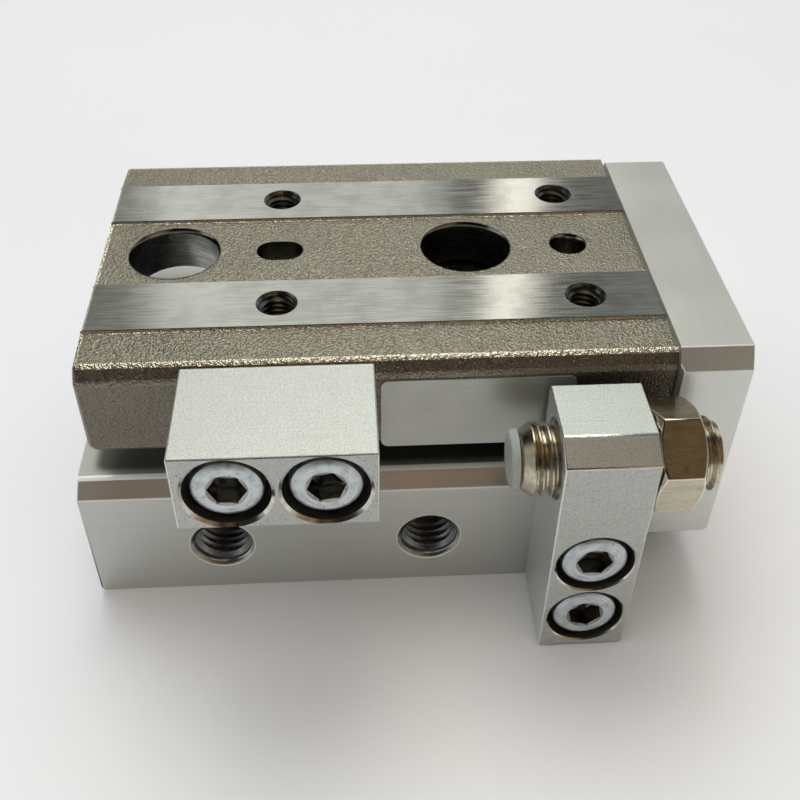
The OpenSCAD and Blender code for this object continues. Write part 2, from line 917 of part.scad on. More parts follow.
// Hexagon nut, chamfered on both faces by a turned envelope
module lock_nut() {
    corner = nut_af / sqrt(3);
    flat_r = nut_af / 2 - 0.1;
    reach = corner - flat_r + 0.4;
    drop = reach * tan(30);
    color([0.72, 0.70, 0.62])
        translate([nut_x0, bolt_y, bolt_z])
            rotate([0, 90, 0])
                difference() {
                    intersection() {
                        rotate([0, 0, nut_turn])
                            cylinder(h = nut_t, r = corner, $fn = 6);
                        rotate_extrude()
                            polygon([
                                [0, 0], [flat_r, 0], [flat_r + reach, drop],
                                [flat_r + reach, nut_t - drop], [flat_r, nut_t], [0, nut_t]
                            ]);
                    }
                    translate([0, 0, -eps])
                        cylinder(h = nut_t + 2 * eps, r = bolt_d / 2 + thread_gap);
                }
}

// ---------------------------------------------------------------- build

body();
guide_block();
guide_block_screws();
return_cap_rear();
return_cap_front();
wiper_rear();
wiper_front();
return_cap_screws();
balls_near();
balls_far();
rod_gland_near();
rod_gland_far();
gland_o_rings();
rod_seals();
cushion_rings();
gland_retaining_rings();
retract_bumper();
adjuster_block();
adjuster_block_screws();
adjuster_bumper();
adjuster_bolt();
lock_nut();
table();
end_plate();
end_plate_screws();
piston_rod_near();
piston_rod_far();
piston_near();
piston_far();
piston_seals();
piston_magnets();
rod_end_washers();
rod_end_screws();
stopper_block();
stopper_block_screws();
label();
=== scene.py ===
"""Looks of a pneumatic slide table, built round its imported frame.

Everything is in metres in the frame's axes: +X is the way the table extends,
+Y runs across the body and +Z is up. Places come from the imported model. Sizes
that are fields or arguments are in millimetres.
"""

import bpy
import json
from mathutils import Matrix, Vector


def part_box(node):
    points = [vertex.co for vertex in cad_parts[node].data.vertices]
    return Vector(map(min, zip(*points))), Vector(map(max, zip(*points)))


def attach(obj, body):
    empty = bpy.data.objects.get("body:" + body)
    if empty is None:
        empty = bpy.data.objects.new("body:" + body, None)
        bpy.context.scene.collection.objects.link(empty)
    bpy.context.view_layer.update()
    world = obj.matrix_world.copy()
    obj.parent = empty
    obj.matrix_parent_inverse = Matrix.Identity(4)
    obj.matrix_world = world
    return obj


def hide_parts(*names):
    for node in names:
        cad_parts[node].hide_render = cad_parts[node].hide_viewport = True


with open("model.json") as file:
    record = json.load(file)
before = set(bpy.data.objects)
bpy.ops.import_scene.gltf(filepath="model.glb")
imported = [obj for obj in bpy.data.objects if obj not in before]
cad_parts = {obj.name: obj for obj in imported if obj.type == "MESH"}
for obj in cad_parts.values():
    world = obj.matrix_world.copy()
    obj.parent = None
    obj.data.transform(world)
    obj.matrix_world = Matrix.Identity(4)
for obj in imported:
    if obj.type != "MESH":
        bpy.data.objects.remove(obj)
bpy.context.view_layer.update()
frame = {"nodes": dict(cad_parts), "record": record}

import json
import logging
import math
from collections.abc import Callable, Sequence
from dataclasses import dataclass
from enum import Enum

import bmesh
import bpy
from mathutils import Matrix, Vector

LOG = logging.getLogger("slide_table")
MM = 0.001
X_AXIS = Vector((1.0, 0.0, 0.0))
ROUND = 48  # facets round a turned shape
WINDING = 32  # facets in one turn of a thread
WELD = 2e-6  # vertices nearer than this, in metres, are one
SLACK = 1e-7  # in metres, for comparing places
FLAT = math.radians(0.4)  # faces that turn less than this become one
SHARP = math.radians(30)  # edges that turn more than this are arrises
CREASE = 0.09  # in radians; a broken arris stays crisp where it turns more at its border

Reach = tuple[float, float]
Size = tuple[float, float, float]
Profile = Sequence[tuple[float, float]]
Test = Callable[[Vector, Vector], bool]
Socket = bpy.types.NodeSocket


# ---------------------------------------------------------------- shader nodes


def linear(colour: str) -> tuple[float, float, float, float]:
    """Turns an sRGB colour into linear values.

    Args:
        colour: The colour as hex, such as "#8f8878".

    Returns:
        Its red, green and blue, and an alpha of 1.
    """
    parts = [int(colour[i : i + 2], 16) / 255 for i in (1, 3, 5)]
    curve = [c / 12.92 if c <= 0.04045 else ((c + 0.055) / 1.055) ** 2.4 for c in parts]
    return (*curve, 1.0)


def node(
    tree: bpy.types.NodeTree, kind: str, inputs: dict | None = None, **settings: str
) -> bpy.types.Node:
    """Adds one node, fills or links its inputs and sets its properties.

    Args:
        tree: The node tree that it joins.
        kind: The node's type name, after "ShaderNode".
        inputs: Input names or numbers, each with a value or the socket to link.
        **settings: Property names and their values.

    Returns:
        The new node.
    """
    made = tree.nodes.new("ShaderNode" + kind)
    for name, value in settings.items():
        setattr(made, name, value)
    for key, value in (inputs or {}).items():
        if isinstance(value, Socket):
            tree.links.new(value, made.inputs[key])
        else:
            made.inputs[key].default_value = value
    return made


def ramp(tree: bpy.types.NodeTree, value: Socket, source: Reach, target: Reach) -> Socket:
    """Carries a value from one range to another, level beyond it and eased at both ends.

    Args:
        tree: The node tree.
        value: The value that is carried.
        source: The range that it is read over.
        target: The range that comes out.

    Returns:
        The new value.
    """
    ends = {0: value, 1: source[0], 2: source[1], 3: target[0], 4: target[1]}
    return node(tree, "MapRange", ends, interpolation_type="SMOOTHSTEP").outputs[0]


class Surface:
    """A material in the making: its shader, the place in millimetres, and its broken arrises, whose
    pale colour is partly wear and partly a painted highlight.
    """

    def __init__(self, name: str) -> None:
        """Starts the material.

        Args:
            name: The material's name.
        """
        self.material = bpy.data.materials.new(name)
        self.material.use_nodes = True
        self.tree = self.material.node_tree
        self.tree.nodes.clear()
        self.shader = node(self.tree, "BsdfPrincipled")
        node(self.tree, "OutputMaterial", {0: self.shader.outputs[0]})
        place = {0: node(self.tree, "TexCoord").outputs["Object"], "Scale": 1 / MM}
        self.mm = node(self.tree, "VectorMath", place, operation="SCALE").outputs[0]
        arris = node(self.tree, "Attribute", attribute_name="arris")
        # the broken arrises' mask; the pale colour laid on it is partly wear and partly a painted
        # highlight line
        self.wear_and_highlight = arris.outputs["Fac"]  # 1 on broken arrises and 0 elsewhere

    def grain(self, *size: float, detail: float = 1.0) -> Socket:
        """Lays a cloudy pattern whose marks have a real size.

        Args:
            *size: The marks' size along X, Y and Z, or one size for all three.
            detail: How many finer layers lie in it.

        Returns:
            A value from 0 to 1.
        """
        scale = tuple(1 / s for s in (size * 3)[:3])
        scaled = node(self.tree, "Mapping", {"Vector": self.mm, "Scale": scale})
        cloud = {"Vector": scaled.outputs[0], "Scale": 1.0, "Detail": detail}
        return node(self.tree, "TexNoise", cloud).outputs[0]

    def inside(self, low: Size, high: Size, soft: float) -> Socket:
        """Marks what lies inside a box.

        Args:
            low: The box's low corner.
            high: Its high corner.
            soft: How wide its edge is.

        Returns:
            A value of 1 inside and 0 outside.
        """
        place = node(self.tree, "SeparateXYZ", {0: self.mm})
        share: Socket | float = 1.0
        for axis in range(3):
            for edge, inward in ((low[axis], soft), (high[axis], -soft)):
                side = ramp(self.tree, place.outputs[axis], (edge, edge + inward), (0.0, 1.0))
                share = node(
                    self.tree, "Math", {0: share, 1: side}, operation="MULTIPLY"
                ).outputs[0]
        return share

    def colour(self, base: str, *layers: tuple[Socket, Reach, float, str]) -> None:
        """Lays colours over each other.

        Args:
            base: The undermost colour, as hex.
            *layers: Each has the pattern that it follows, the range of the pattern over
                which it comes in, how much of it shows at most, and its colour.
        """
        below = linear(base)
        for pattern, reach, most, tint in layers:
            share = ramp(self.tree, pattern, reach, (0.0, most))
            colours = {0: share, 6: below, 7: linear(tint)}
            below = node(self.tree, "Mix", colours, data_type="RGBA").outputs[2]
        self.tree.links.new(below, self.shader.inputs["Base Color"])

    def roughness(self, pattern: Socket, low: float, high: float, rubbed: float = 0.5) -> None:
        """Lets the roughness follow a pattern, with the broken arrises rubbed smoother.

        Args:
            pattern: The pattern.
            low: The roughness at its low end.
            high: The roughness at its high end.
            rubbed: How much of it a broken arris keeps.
        """
        factors = {
            0: ramp(self.tree, pattern, (0.3, 0.7), (low, high)),
            1: ramp(self.tree, self.wear_and_highlight, (0.0, 1.0), (1.0, rubbed)),
        }
        made = node(self.tree, "Math", factors, operation="MULTIPLY")
        self.tree.links.new(made.outputs[0], self.shader.inputs["Roughness"])

    def metal(self, whole: float, wear_and_highlight: float) -> None:
        """Sets how metallic the surface is, and how metallic its broken arrises are; those arrises
        are partly worn and partly a painted highlight line.
        """
        share = ramp(self.tree, self.wear_and_highlight, (0.0, 1.0), (whole, wear_and_highlight))
        self.tree.links.new(share, self.shader.inputs["Metallic"])

    def relief(self, *layers: tuple[Socket, float]) -> None:
        """Gives the surface its fine relief.

        Args:
            *layers: Heights from 0 to 1, each with its depth.
        """
        inputs = {}
        for height, depth in layers:
            inputs |= {"Height": height, "Distance": depth * MM}
            inputs["Normal"] = node(self.tree, "Bump", inputs).outputs[0]
        self.tree.links.new(inputs["Normal"], self.shader.inputs["Normal"])

    def even(self, **values: float) -> None:
        """Sets shader values that are the same all over, named with _ for a space."""
        for name, value in values.items():
            self.shader.inputs[name.replace("_", " ").title()].default_value = value


# ---------------------------------------------------------------- finishes


@dataclass(frozen=True)
class Finish:
    """A finish: what a surface is made of and how it was made."""

    name: str

    def material(self) -> bpy.types.Material:
        """Makes the material, or returns it where it was made before.

        Returns:
            The material with its nodes.
        """
        made = bpy.data.materials.get(self.name)
        if made is None:
            surface = Surface(self.name)
            self.paint(surface)
            made = surface.material
        return made

    def paint(self, surface: Surface) -> None:
        """Fills the surface's shader; each finish has its own way."""
        raise NotImplementedError


@dataclass(frozen=True)
class BlastedSteel(Finish):
    """Stainless steel casting, grit blasted: a warm, dull grey that glitters where it turns, its
    glints partly painted as pale specks.
    """

    base: str = "#9f9b8e"
    dark: str = "#7f7b6e"
    # pale colour for the painted glints and for the worn arrises, where it is partly a painted
    # highlight line
    edge: str = "#e6e2d4"
    rubbed: float = 0.5
    grit: float = 0.22  # real grit is near 0.1 mm; drawn coarser so that it shows
    depth: float = 0.11

    def paint(self, surface: Surface) -> None:
        """Mottles the metal with the grit's dents, with painted glints and pale arrises that partly
        stand for highlights.

        Args:
            surface: The material in the making.
        """
        dents = surface.grain(self.grit)
        fine = surface.grain(self.grit * 0.45, detail=0.0)
        broad = surface.grain(7.0, 5.0, 5.0, detail=3.0)
        surface.colour(
            self.base,
            (dents, (0.55, 0.3), 0.6, self.dark),
            (broad, (0.4, 0.75), 0.25, self.dark),
            # painted glints: pale specks in the colour, standing in for sparkle
            (fine, (0.6, 0.78), 0.6, self.edge),
            # worn arrises painted pale: partly wear, partly a painted highlight line
            (surface.wear_and_highlight, (0.0, 1.0), 0.85, self.edge),
        )
        surface.even(metallic=0.9)
        surface.roughness(fine, 0.30, 0.42, self.rubbed)
        surface.relief((dents, self.depth), (fine, self.depth * 0.35))


@dataclass(frozen=True)
class GroundSteel(Finish):
    """Surface-ground steel: nearly bright, with fine wheel marks that smear what it mirrors."""

    base: str = "#c9cbc6"
    dark: str = "#a2a49e"
    mark: Size = (3.2, 0.13, 0.13)

    def paint(self, surface: Surface) -> None:
        """Lays wheel marks along X over faint clouds.

        Args:
            surface: The material in the making.
        """
        marks = surface.grain(*self.mark, detail=2.0)
        cloud = surface.grain(2.4, 2.6, 2.6, detail=3.0)
        surface.colour(
            self.base,
            (marks, (0.6, 0.3), 0.5, self.dark),
            (cloud, (0.42, 0.68), 0.45, self.dark),
        )
        surface.even(metallic=1.0)
        surface.roughness(marks, 0.10, 0.16)
        surface.relief((marks, 0.0045))


@dataclass(frozen=True)
class SatinAnodised(Finish):
    """Clear-anodised aluminium, drawn or milled: pale, even and silky, with hardly a tool line."""

    base: str = "#c9cac6"
    dark: str = "#b9bab6"
    # pale colour for the worn arrises, partly wear and partly a painted highlight line
    edge: str = "#f4f5f0"
    speck: str = "#8d8c87"
    # the colour of the painted shade that stands in for the table's shadow on the body
    painted_shade: str = "#35332f"
    lines: Size = (16.0, 0.2, 0.2)
    shade_box: tuple[Size, Size] | None = None  # the corners of the box that the painted shade under the table lies in
    fade: float = 1.9  # how wide the painted shade's edge is

    def paint(self, surface: Surface) -> None:
        """Draws faint tool lines, a fine frosting, a few specks and the painted shade under the
        table.

        Args:
            surface: The material in the making.
        """
        drawn = surface.grain(*self.lines, detail=2.0)
        frost = surface.grain(0.13)
        broad = surface.grain(6.0, detail=2.0)
        specks = surface.grain(0.55, detail=3.0)
        layers = [
            (drawn, (0.35, 0.7), 0.22, self.dark),
            (frost, (0.35, 0.7), 0.25, self.dark),
            (specks, (0.74, 0.82), 0.5, self.speck),
        ]
        if self.shade_box:
            # painted shade: a dark layer in a box under the table's overhang, where its shadow
            # falls; film is this layer's mask
            film = surface.inside(*self.shade_box, self.fade)
            layers.append((film, (0.1, 0.9), 0.85, self.painted_shade))
        # the worn arrises are painted pale, partly wear and partly a painted highlight line
        surface.colour(self.base, *layers, (surface.wear_and_highlight, (0.0, 1.0), 0.9, self.edge))
        surface.metal(0.85, 0.1)
        surface.roughness(broad, 0.36, 0.42)
        surface.relief((drawn, 0.0012), (frost, 0.0016))


@dataclass(frozen=True)
class BlastedAnodised(Finish):
    """Bead-blasted, clear-anodised aluminium: a bright frost with a few dark pits."""

    base: str = "#dfe2df"
    dark: str = "#bcc0bd"
    pit: str = "#6d6b66"
    # pale colour for the worn arrises, partly wear and partly a painted highlight line
    edge: str = "#eef0ee"
    bead: float = 0.12
    depth: float = 0.019
    lines: float = 0.2
    pitted: float = 0.5
    metallic: float = 0.8

    def paint(self, surface: Surface) -> None:
        """Frosts the metal with bead dents and faint lines along X.

        Args:
            surface: The material in the making.
        """
        dents = surface.grain(self.bead)
        drawn = surface.grain(5.0, 0.22, 0.22, detail=2.0)
        pits = surface.grain(0.19, detail=0.0)
        surface.colour(
            self.base,
            (dents, (0.6, 0.34), 0.6, self.dark),
            (drawn, (0.45, 0.75), self.lines, self.dark),
            (pits, (0.735, 0.79), self.pitted, self.pit),
            # worn arrises painted pale: partly wear, partly a painted highlight line
            (surface.wear_and_highlight, (0.0, 1.0), 0.5, self.edge),
        )
        surface.even(metallic=self.metallic)
        surface.roughness(dents, 0.54, 0.44)
        surface.relief((dents, self.depth), (drawn, 0.0015))


@dataclass(frozen=True)
class ZincPlate(Finish):
    """Bright zinc plate on steel screws: bluish white and cloudy, with dark flecks in its dents."""

    base: str = "#d5dcde"
    dark: str = "#a3adb2"
    stain: str = "#6f6d66"

    def paint(self, surface: Surface) -> None:
        """Clouds the plate and flecks it.

        Args:
            surface: The material in the making.
        """
        cloud = surface.grain(0.8, detail=3.0)
        fleck = surface.grain(0.2)
        surface.colour(
            self.base,
            (cloud, (0.6, 0.3), 0.6, self.dark),
            (fleck, (0.66, 0.76), 0.8, self.stain),
        )
        surface.even(metallic=0.9)
        surface.roughness(cloud, 0.34, 0.46)
        surface.relief((fleck, 0.006), (cloud, 0.01))


@dataclass(frozen=True)
class NickelPlate(Finish):
    """Nickel plate over brushed steel: warm and bright, with fine tool marks and light tarnish."""

    base: str = "#cfc8b8"
    dark: str = "#a69d89"
    stain: str = "#6b604c"
    # pale colour for the worn arrises, partly wear and partly a painted highlight line
    edge: str = "#f2ead8"
    marks: Size = (2.2, 0.11, 0.11)
    depth: float = 0.006

    def paint(self, surface: Surface) -> None:
        """Brushes the plate and tarnishes it lightly.

        Args:
            surface: The material in the making.
        """
        brushed = surface.grain(*self.marks, detail=2.0)
        tarnish = surface.grain(1.2, detail=3.0)
        surface.colour(
            self.base,
            (brushed, (0.6, 0.35), 0.5, self.dark),
            (tarnish, (0.56, 0.78), 0.5, self.stain),
            # worn arrises painted pale: partly wear, partly a painted highlight line
            (surface.wear_and_highlight, (0.0, 1.0), 0.6, self.edge),
        )
        surface.even(metallic=1.0)
        surface.roughness(tarnish, 0.20, 0.30)
        surface.relief((brushed, self.depth))


@dataclass(frozen=True)
class MachinedMetal(Finish):
    """Turned, drilled or ground metal, with the tool's rings across one axis."""

    base: str
    dark: str
    rings: Size = (1.5, 1.5, 0.12)
    depth: float = 0.003
    smooth: float = 0.24
    rough: float = 0.36
    metallic: float = 1.0

    def paint(self, surface: Surface) -> None:
        """Cuts the tool's rings.

        Args:
            surface: The material in the making.
        """
        cut = surface.grain(*self.rings)
        cloud = surface.grain(2.5, detail=2.0)
        surface.colour(
            self.base,
            (cut, (0.65, 0.35), 0.6, self.dark),
            (cloud, (0.5, 0.75), 0.4, self.dark),
        )
        surface.even(metallic=self.metallic)
        surface.roughness(cloud, self.smooth, self.rough)
        surface.relief((cut, self.depth))


@dataclass(frozen=True)
class Moulded(Finish):
    """Moulded resin, rubber or urethane: dull, with a soft orange-peel skin and slight dust."""

    base: str = "#2a2d2f"
    dark: str = "#16181a"
    dust: str = "#6a6a66"
    dusting: float = 0.15
    peel: float = 0.35
    smooth: float = 0.42
    rough: float = 0.60
    through: float = 0.0  # how much light goes through the skin
    reach: float = 0.4  # how far it goes

    def paint(self, surface: Surface) -> None:
        """Gives the skin its peel, tone and dust.

        Args:
            surface: The material in the making.
        """
        skin = surface.grain(self.peel, detail=2.0)
        tone = surface.grain(3.0, detail=2.0)
        dust = surface.grain(0.5, detail=4.0)
        surface.colour(
            self.base,
            (tone, (0.65, 0.3), 0.8, self.dark),
            (dust, (0.52, 0.75), self.dusting, self.dust),
        )
        surface.even(subsurface_weight=self.through, subsurface_scale=self.reach * MM)
        surface.roughness(skin, self.smooth, self.rough)
        surface.relief((skin, 0.01))


@dataclass(frozen=True)
class PolyesterFilm(Finish):
    """Blank silver polyester film: a smooth satin sheen, hardly marked."""

    base: str = "#b9bab4"
    dark: str = "#a6a7a1"

    def paint(self, surface: Surface) -> None:
        """Gives the film its sheen and faint rolling lines.

        Args:
            surface: The material in the making.
        """
        rolled = surface.grain(7.0, 0.3, 0.3, detail=2.0)
        ripple = surface.grain(3.5)
        surface.colour(
            self.base,
            (rolled, (0.35, 0.7), 0.2, self.dark),
            (ripple, (0.35, 0.7), 0.2, self.dark),
        )
        surface.even(metallic=0.6)
        surface.roughness(ripple, 0.34, 0.40)
        surface.relief((ripple, 0.008), (rolled, 0.0006))


class Dress(Enum):
    """The finishes of this slide table, by what they are."""

    CASTING = BlastedSteel("blasted_stainless_casting")
    # a darker copy of the casting's finish for its steep sides: painted shade
    CASTING_SHADED_SIDE = BlastedSteel(
        "blasted_stainless_shaded_sides", "#807a6e", "#5a554a", "#979184", rubbed=1.0
    )
    GROUND = GroundSteel("surface_ground_stainless")
    DRILLED = MachinedMetal("drilled_stainless", "#a1a39f", "#666863")
    THREAD_STEEL = MachinedMetal("tapped_stainless", "#8f999b", "#5c6466", rough=0.45)
    # the box under the table's overhang gets painted shade, standing in for the table's shadow on
    # the body's ledge
    BODY = SatinAnodised(
        "clear_anodised_extrusion", shade_box=((-27.6, -16.3, 11.0), (21.5, -10.5, 15.0))
    )
    BORED = MachinedMetal(
        "bored_anodised_aluminium", "#c4c1ba", "#8d8a84", (1.5, 0.12, 1.5), metallic=0.85
    )
    THREAD_ALLOY = MachinedMetal(
        "tapped_aluminium", "#979a9b", "#6c7072", (1.5, 0.12, 1.5), rough=0.45, metallic=0.9
    )
    PLATE = SatinAnodised(
        "clear_anodised_milled_plate", "#dcddd9", "#d0d1cd", lines=(0.6, 9.0, 0.6)
    )
    STOPPER = BlastedAnodised("bead_blasted_anodised_stopper", pitted=0.0)
    ADJUSTER = BlastedAnodised(
        "bead_blasted_anodised_bracket", "#e6ecec", lines=0.15, pitted=0.25, metallic=0.95
    )
    # a darker copy of the blasted finish for faces turned to the front: painted shade
    FRONT = BlastedAnodised(
        "bead_blasted_anodised_shaded_fronts", "#c6c8c4", "#acaeaa",
        depth=0.008, lines=0.1, pitted=0.55, metallic=0.9,
    )
    # the counterbores' walls, coloured darker than the blocks' faces
    SEAT = MachinedMetal(
        "darker_counterbore_wall", "#8d897f", "#57534b", (1.5, 0.12, 1.5), smooth=0.4, rough=0.5
    )
    RIM = MachinedMetal(
        "countersunk_bright_rim", "#e3dfd6", "#b5b0a5", (0.5, 0.5, 0.5), metallic=0.95
    )
    ZINC = ZincPlate("bright_zinc_plate")
    SOCKET = MachinedMetal(
        "broached_hexagon_socket", "#a3a29b", "#6a6861", (0.8, 0.2, 0.8), smooth=0.14, rough=0.28
    )
    NICKEL_NUT = NickelPlate("brushed_nickel_plate")
    NICKEL_BOLT = NickelPlate("rolled_nickel_plate", marks=(0.5, 0.6, 0.6), depth=0.002)
    URETHANE = Moulded(
        "cast_urethane", "#a6aaa0", "#969a90", "#c2c5be",
        dusting=0.2, smooth=0.38, rough=0.52, through=0.15,
    )
    RUBBER = Moulded("nitrile_rubber")
    RESIN = Moulded("moulded_acetal", "#2c6650", "#1d4636", "#8fa89c", dusting=0.1, peel=0.2)
    MAGNET = Moulded("bonded_ferrite", "#38383a", "#222224", peel=0.15)
    FILM = PolyesterFilm("silver_polyester_film")
    GUIDE = MachinedMetal("ground_bearing_steel", "#c2c5c7", "#84878a", (2.5, 0.1, 0.1), 0.002)
    BALLS = MachinedMetal(
        "lapped_bearing_balls", "#e2e4e6", "#b8babd", (0.6, 0.6, 0.6), 0.0003, 0.06, 0.12
    )
    GLAND = MachinedMetal(
        "turned_alloy_gland", "#cfd1d0", "#9fa1a0", (0.1, 1.5, 1.5), metallic=0.85
    )
    SPRING = MachinedMetal(
        "phosphated_spring_steel", "#5c5d5e", "#3a3b3c", (0.8, 0.8, 0.8), 0.003, 0.4, 0.55
    )
    ROD = MachinedMetal(
        "hard_chromed_rod", "#e6e7e8", "#b4b6b8", (0.1, 2.0, 2.0), 0.0006, 0.08, 0.16
    )
    PISTON = MachinedMetal("turned_brass_piston", "#c9b377", "#8d7a45", (0.1, 1.5, 1.5))


# ---------------------------------------------------------------- shapes


class Shape:
    """A shape in the making, turned or wound round the local X axis."""

    def __init__(self) -> None:
        """Starts an empty shape."""
        self.bm = bmesh.new()

    def turn(self, outline: Profile) -> "Shape":
        """Spins an outline into a closed turned shape.

        Args:
            outline: Places along the axis, each with its radius.

        Returns:
            The shape itself.
        """
        verts = [self.bm.verts.new((a * MM, r * MM, 0.0)) for a, r in outline]
        edges = [self.bm.edges.new(pair) for pair in zip(verts, verts[1:])]
        bmesh.ops.spin(
            self.bm, geom=verts + edges, cent=(0, 0, 0), axis=X_AXIS, dvec=(0, 0, 0),
            angle=math.tau, steps=ROUND, use_merge=True, use_duplicate=False,
        )
        bmesh.ops.remove_doubles(self.bm, verts=self.bm.verts, dist=SLACK)
        bmesh.ops.recalc_face_normals(self.bm, faces=self.bm.faces)
        return self

    def wind(
        self, start: float, root: float, crest: float, pitch: float, turns: float, trim: Callable
    ) -> "Shape":
        """Winds a thread ridge round the axis.

        Args:
            start: Where the middle of the ridge starts along the axis.
            root: The radius of its foot.
            crest: The radius of its crest.
            pitch: How far one turn advances.
            turns: How many turns there are.
            trim: Gives the radius allowed, from the place along the axis and the radius,
                all in metres.

        Returns:
            The shape itself.
        """
        section = ((-0.44, root), (-0.07, crest), (0.07, crest), (0.44, root))
        verts = [self.bm.verts.new(((start + a * pitch) * MM, r * MM, 0.0)) for a, r in section]
        face = self.bm.faces.new(verts)
        bmesh.ops.spin(
            self.bm, geom=[face, *face.edges, *verts], cent=(0, 0, 0), axis=X_AXIS,
            dvec=(pitch * MM / WINDING, 0, 0), angle=math.tau * turns,
            steps=round(WINDING * turns), use_merge=False, use_duplicate=False,
        )
        for v in self.bm.verts:
            radius = math.hypot(v.co.y, v.co.z)
            scale = trim(v.co.x, radius) / radius
            v.co.y *= scale
            v.co.z *= scale
        bmesh.ops.recalc_face_normals(self.bm, faces=self.bm.faces)
        return self

    def press_hexagon(self, low: float, high: float, key: float, turned: float) -> "Shape":
        """Moves the round socket wall between two places onto a hexagon.

        Args:
            low: Where the wall starts along the axis.
            high: Where it ends.
            key: The distance across the hexagon's flats.
            turned: The angle of its first corner from local Y, in radians.

        Returns:
            The shape itself.
        """
        flat = key / 2 * MM
        corner = flat / math.cos(math.pi / 6)
        for v in self.bm.verts:
            radius = math.hypot(v.co.y, v.co.z)
            if low * MM - SLACK <= v.co.x <= high * MM + SLACK and abs(radius - corner) < 1e-6:
                angle = math.atan2(v.co.z, v.co.y)
                wall = flat / math.cos(angle % (math.pi / 3) - math.pi / 6)
                v.co.y, v.co.z = wall * math.cos(angle), wall * math.sin(angle)
        spun = Matrix.Rotation(turned, 3, "X")
        bmesh.ops.rotate(self.bm, verts=self.bm.verts, cent=(0, 0, 0), matrix=spun)
        return self

    def place(self, point: Vector, axis: Vector) -> "Shape":
        """Carries the shape's local X axis onto an axis through a point.

        Args:
            point: The point, in metres.
            axis: The axis.

        Returns:
            The shape itself.
        """
        turn = X_AXIS.rotation_difference(axis).to_matrix().to_4x4()
        bmesh.ops.transform(self.bm, matrix=Matrix.Translation(point) @ turn, verts=self.bm.verts)
        return self


@dataclass(frozen=True)
class Zone:
    """Faces of a piece that have a finish of their own."""

    dress: Dress
    holds: Test


def mark_sharp(bm: bmesh.types.BMesh) -> None:
    """Smooths every face and keeps the edges between differing faces crisp.

    Args:
        bm: The mesh; its broken arrises carry the face layer "arris".
    """
    arris = bm.faces.layers.float.get("arris")
    for face in bm.faces:
        face.smooth = True
    for edge in bm.edges:
        if len(edge.link_faces) == 2:
            broken = 0 if arris is None else sum(round(face[arris]) for face in edge.link_faces)
            edge.smooth = edge.calc_face_angle(0.0) <= (SHARP, CREASE, math.inf)[broken]


def finished_piece(
    name: str,
    bm: bmesh.types.BMesh,
    body: str,
    dress: Dress,
    zones: Sequence[Zone] = (),
    stands_for: Sequence[str] = (),
) -> bpy.types.Object:
    """Turns a mesh in the making into a piece that rides on its body.

    Args:
        name: The piece's name.
        bm: Its mesh, which is freed here.
        body: The CAD body that it moves with.
        dress: Its main finish.
        zones: Faces with a finish of their own.
        stands_for: The CAD nodes that it replaces.

    Returns:
        The piece's object.
    """
    for face in bm.faces:
        centre = face.calc_center_median() / MM
        for index, zone in enumerate(zones, 1):
            if zone.holds(centre, face.normal):
                face.material_index = index
    mark_sharp(bm)
    mesh = bpy.data.meshes.new(name)
    bm.to_mesh(mesh)
    bm.free()
    for part in (dress, *(zone.dress for zone in zones)):
        mesh.materials.append(part.value.material())
    piece = bpy.data.objects.new(name, mesh)
    bpy.context.scene.collection.objects.link(piece)
    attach(piece, body)
    if stands_for:
        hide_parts(*stands_for)
    LOG.info("%s has %d faces", name, len(mesh.polygons))
    return piece


def joined(shapes: Sequence[Shape]) -> bmesh.types.BMesh:
    """Puts several placed shapes into one mesh and frees them.

    Args:
        shapes: The shapes.

    Returns:
        The mesh that holds them all.
    """
    whole = bmesh.new()
    for shape in shapes:
        mesh = bpy.data.meshes.new("part")
        shape.bm.to_mesh(mesh)
        shape.bm.free()
        whole.from_mesh(mesh)
        bpy.data.meshes.remove(mesh)
    return whole


def dress_nodes(dress: Dress, names: str) -> None:
    """Gives carried-over CAD nodes their finish.

    Args:
        dress: The finish that they get.
        names: The nodes' names, with spaces between them.
    """
    for name in names.split():
        piece = frame["nodes"][name]
        if not piece.material_slots:
            piece.data.materials.append(dress.value.material())
        for held in piece.material_slots:
            held.material = dress.value.material()
        LOG.info("%s dressed in %s", name, dress.value.name)


